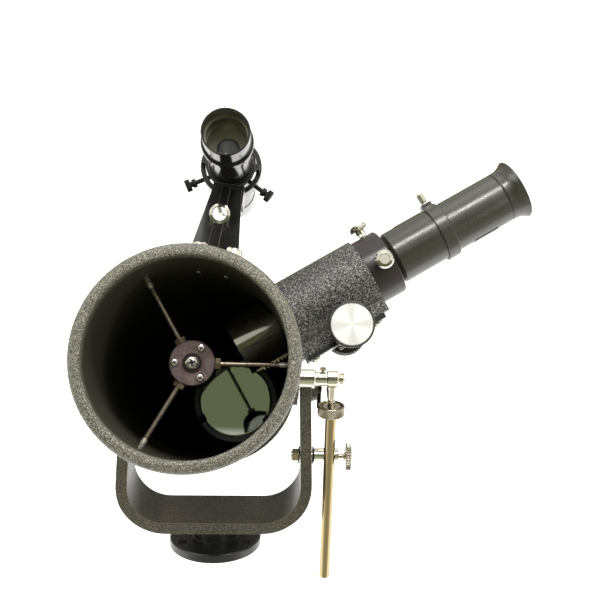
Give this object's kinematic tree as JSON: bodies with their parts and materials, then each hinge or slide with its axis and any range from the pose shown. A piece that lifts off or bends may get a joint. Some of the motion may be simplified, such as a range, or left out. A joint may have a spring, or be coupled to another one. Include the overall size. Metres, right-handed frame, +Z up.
{
  "type": "newtonian reflector telescope",
  "caption": "Short-tube Newtonian reflector on a fork yoke, with rack-and-pinion focuser, image-erecting eyepiece, finder and altitude slow-motion rod.",
  "frame": {"origin": "centre of the azimuth base's underside", "axes": "+Z up along the azimuth axis; the tube looks towards -Y and up at rest; +X is the side of the focuser and of the altitude rod"},
  "size_m": [0.2666, 0.6697, 0.4101],
  "materials": {
    "gloss_black_paint": "gloss black enamel",
    "wrinkle_black": "fine wrinkle texture, dark grey-black",
    "satin_black": "satin black",
    "purple_black": "purple-black anodised",
    "hub_anodised": "faded purple-brown anodised",
    "chrome": "bright chrome",
    "steel": "bright steel",
    "black_steel": "blackened steel",
    "brass": "plain brass",
    "spun_aluminium": "spun face",
    "aluminium": "machined",
    "mirror": "front-surface aluminised glass",
    "glass": "clear, coated",
    "black_plastic": "matt black",
    "gloss_plastic": "gloss black",
    "rubber": "soft black rubber",
    "felt": "black felt"
  },
  "bodies": {
    "azimuth_base": {"azimuth_base": "satin_black"},
    "azimuth_lock": {"azimuth_lock_knob": "black_plastic"},
    "yoke": {"yoke": "wrinkle_black", "washers": "black_plastic", "azimuth_retaining_screw": "steel"},
    "tube": {"optical_tube": "gloss_black_paint", "front_ring": "wrinkle_black", "rear_cell": "wrinkle_black", "primary_mirror": "mirror", "mirror_cell_plate": "aluminium", "mirror_clips": "black_steel", "collimation_screws": "steel", "collimation_bushes": "rubber", "spider_hub": "hub_anodised", "spider_rods": "chrome", "spider_nuts": "brass", "small_screws": "steel", "secondary_screws": "steel", "secondary_holder": "satin_black", "secondary_mirror": "mirror", "focuser_housing": "wrinkle_black", "pinion_cover": "gloss_plastic", "cradle_ring": "wrinkle_black", "cradle_felt": "felt", "finder_bracket": "gloss_plastic", "bracket_eyelet": "chrome", "bracket_thumb_screws": "chrome", "pivot_bolts": "steel", "rod_anchor": "chrome"},
    "altitude_lock": {"altitude_lock_lever": "black_steel"},
    "anchor_nut": {"anchor_thumb_nut": "chrome"},
    "rod": {"rod_swivel": "chrome", "altitude_rod": "chrome"},
    "fine_wheel": {"fine_wheel": "chrome"},
    "clamp_post": {"clamp_post": "chrome", "post_nut": "brass"},
    "clamp_screw": {"clamp_thumb_screw": "chrome"},
    "drawtube": {"drawtube": "satin_black", "focus_rack": "brass", "eyepiece_collar": "purple_black"},
    "pinion": {"pinion_shaft": "steel", "focus_knobs": "black_plastic", "knob_faces": "spun_aluminium"},
    "collar_screw_top": {"collar_screw_top": "chrome"},
    "collar_screw_front": {"collar_screw_front": "chrome"},
    "erector": {"erector_tube": "satin_black", "erector_lenses": "glass", "clamp_ring": "satin_black"},
    "clamp_ring_screw": {"clamp_ring_screw": "chrome"},
    "eyepiece": {"eyepiece_body": "satin_black", "eyecup": "rubber", "eyepiece_lenses": "glass"},
    "finder": {"finder_objective_cell": "gloss_plastic", "finder_objective_lens": "glass", "finder_tube": "gloss_plastic"},
    "finder_eyepiece": {"finder_eyepiece": "gloss_plastic", "finder_eye_lens": "glass"},
    "finder_screw_top": {"finder_screw_top": "black_plastic"},
    "finder_screw_left": {"finder_screw_left": "black_plastic"},
    "finder_screw_right": {"finder_screw_right": "black_plastic"}
  },
  "joints": [
    {"name": "azimuth", "type": "hinge", "parent": "azimuth_base", "child": "yoke", "pos_m": [0, 0, 0.01885], "axis": [0, 0, 1], "continuous": true},
    {"name": "azimuth_lock", "type": "hinge", "parent": "azimuth_base", "child": "azimuth_lock", "pos_m": [0, 0.02, 0.0126], "axis": [0, 1, 0], "range_deg": [-360, 0]},
    {"name": "altitude", "type": "hinge", "parent": "yoke", "child": "tube", "pos_m": [0, 0, 0.126], "axis": [-1, 0, 0], "range_deg": [-30, 18]},
    {"name": "altitude_lock", "type": "hinge", "parent": "tube", "child": "altitude_lock", "pos_m": [0.074, 0, 0.126], "axis": [1, 0, 0], "range_deg": [0, 90]},
    {"name": "anchor_nut", "type": "hinge", "parent": "tube", "child": "anchor_nut", "pos_m": [0.089, -0.01634, 0.13738], "axis": [1, 0, 0], "range_deg": [0, 360]},
    {"name": "rod_pivot", "type": "hinge", "parent": "tube", "child": "rod", "pos_m": [0.083, -0.01634, 0.13738], "axis": [-1, 0, 0], "range_deg": [-15, 25]},
    {"name": "fine_adjust", "type": "hinge", "parent": "rod", "child": "fine_wheel", "pos_m": [0.083, -0.01508, 0.11342], "axis": [0, 0.0525, -0.9986], "continuous": true},
    {"name": "post_swivel", "type": "hinge", "parent": "yoke", "child": "clamp_post", "pos_m": [0.083, -0.0096, 0.0758], "axis": [-1, 0, 0], "range_deg": [-6, 4]},
    {"name": "rod_clamp", "type": "hinge", "parent": "clamp_post", "child": "clamp_screw", "pos_m": [0.095, -0.01152, 0.0757], "axis": [1, 0, 0], "range_deg": [-360, 0]},
    {"name": "focus", "type": "slide", "parent": "tube", "child": "drawtube", "axis": [0.8554, 0.1924, 0.481], "range_m": [0, 0.045]},
    {"name": "focus_knob", "type": "hinge", "parent": "tube", "child": "pinion", "pos_m": [0.0826, -0.1644, 0.21743], "axis": [0, 0.9285, -0.3714], "range_deg": [-1, 620]},
    {"name": "collar_screw_top", "type": "hinge", "parent": "drawtube", "child": "collar_screw_top", "pos_m": [0.08989, -0.14436, 0.26755], "axis": [-0.518, 0.3177, 0.7942], "range_deg": [0, 360]},
    {"name": "collar_screw_front", "type": "hinge", "parent": "drawtube", "child": "collar_screw_front", "pos_m": [0.10025, -0.16928, 0.2591], "axis": [0, -0.9285, 0.3714], "range_deg": [0, 360]},
    {"name": "erector_slide", "type": "slide", "parent": "drawtube", "child": "erector", "axis": [0.8554, 0.1924, 0.481], "range_m": [0, 0.009]},
    {"name": "clamp_ring_screw", "type": "hinge", "parent": "erector", "child": "clamp_ring_screw", "pos_m": [0.12617, -0.13706, 0.28578], "axis": [-0.518, 0.3177, 0.7942], "range_deg": [0, 360]},
    {"name": "eyepiece_slide", "type": "slide", "parent": "erector", "child": "eyepiece", "axis": [0.8554, 0.1924, 0.481], "range_m": [0, 0.012]},
    {"name": "finder_tilt", "type": "hinge", "parent": "tube", "child": "finder", "pos_m": [0.01239, -0.10021, 0.30091], "axis": [0.9951, -0.0366, -0.0914], "range_deg": [-1, 1]},
    {"name": "finder_focus", "type": "slide", "parent": "finder", "child": "finder_eyepiece", "axis": [0, 0.9285, -0.3714], "range_m": [0, 0.006]},
    {"name": "finder_screw_top", "type": "hinge", "parent": "tube", "child": "finder_screw_top", "pos_m": [0.01485, -0.07983, 0.31956], "axis": [0.0985, 0.3696, 0.924], "range_deg": [-360, 360]},
    {"name": "finder_screw_left", "type": "hinge", "parent": "tube", "child": "finder_screw_left", "pos_m": [-0.01039, -0.0929, 0.28689], "axis": [-0.911, -0.1531, -0.3828], "range_deg": [-360, 360]},
    {"name": "finder_screw_right", "type": "hinge", "parent": "tube", "child": "finder_screw_right", "pos_m": [0.0327, -0.09448, 0.28293], "axis": [0.8126, -0.2164, -0.5412], "range_deg": [-360, 360]}
  ],
  "couplings": [
    {"joint": "focus_knob", "follows": "focus", "rad_per_m": 238.1},
    {"joint": "rod_pivot", "follows": "altitude", "ratio": -0.8125},
    {"joint": "post_swivel", "follows": "altitude", "ratio": 0.1875}
  ]
}
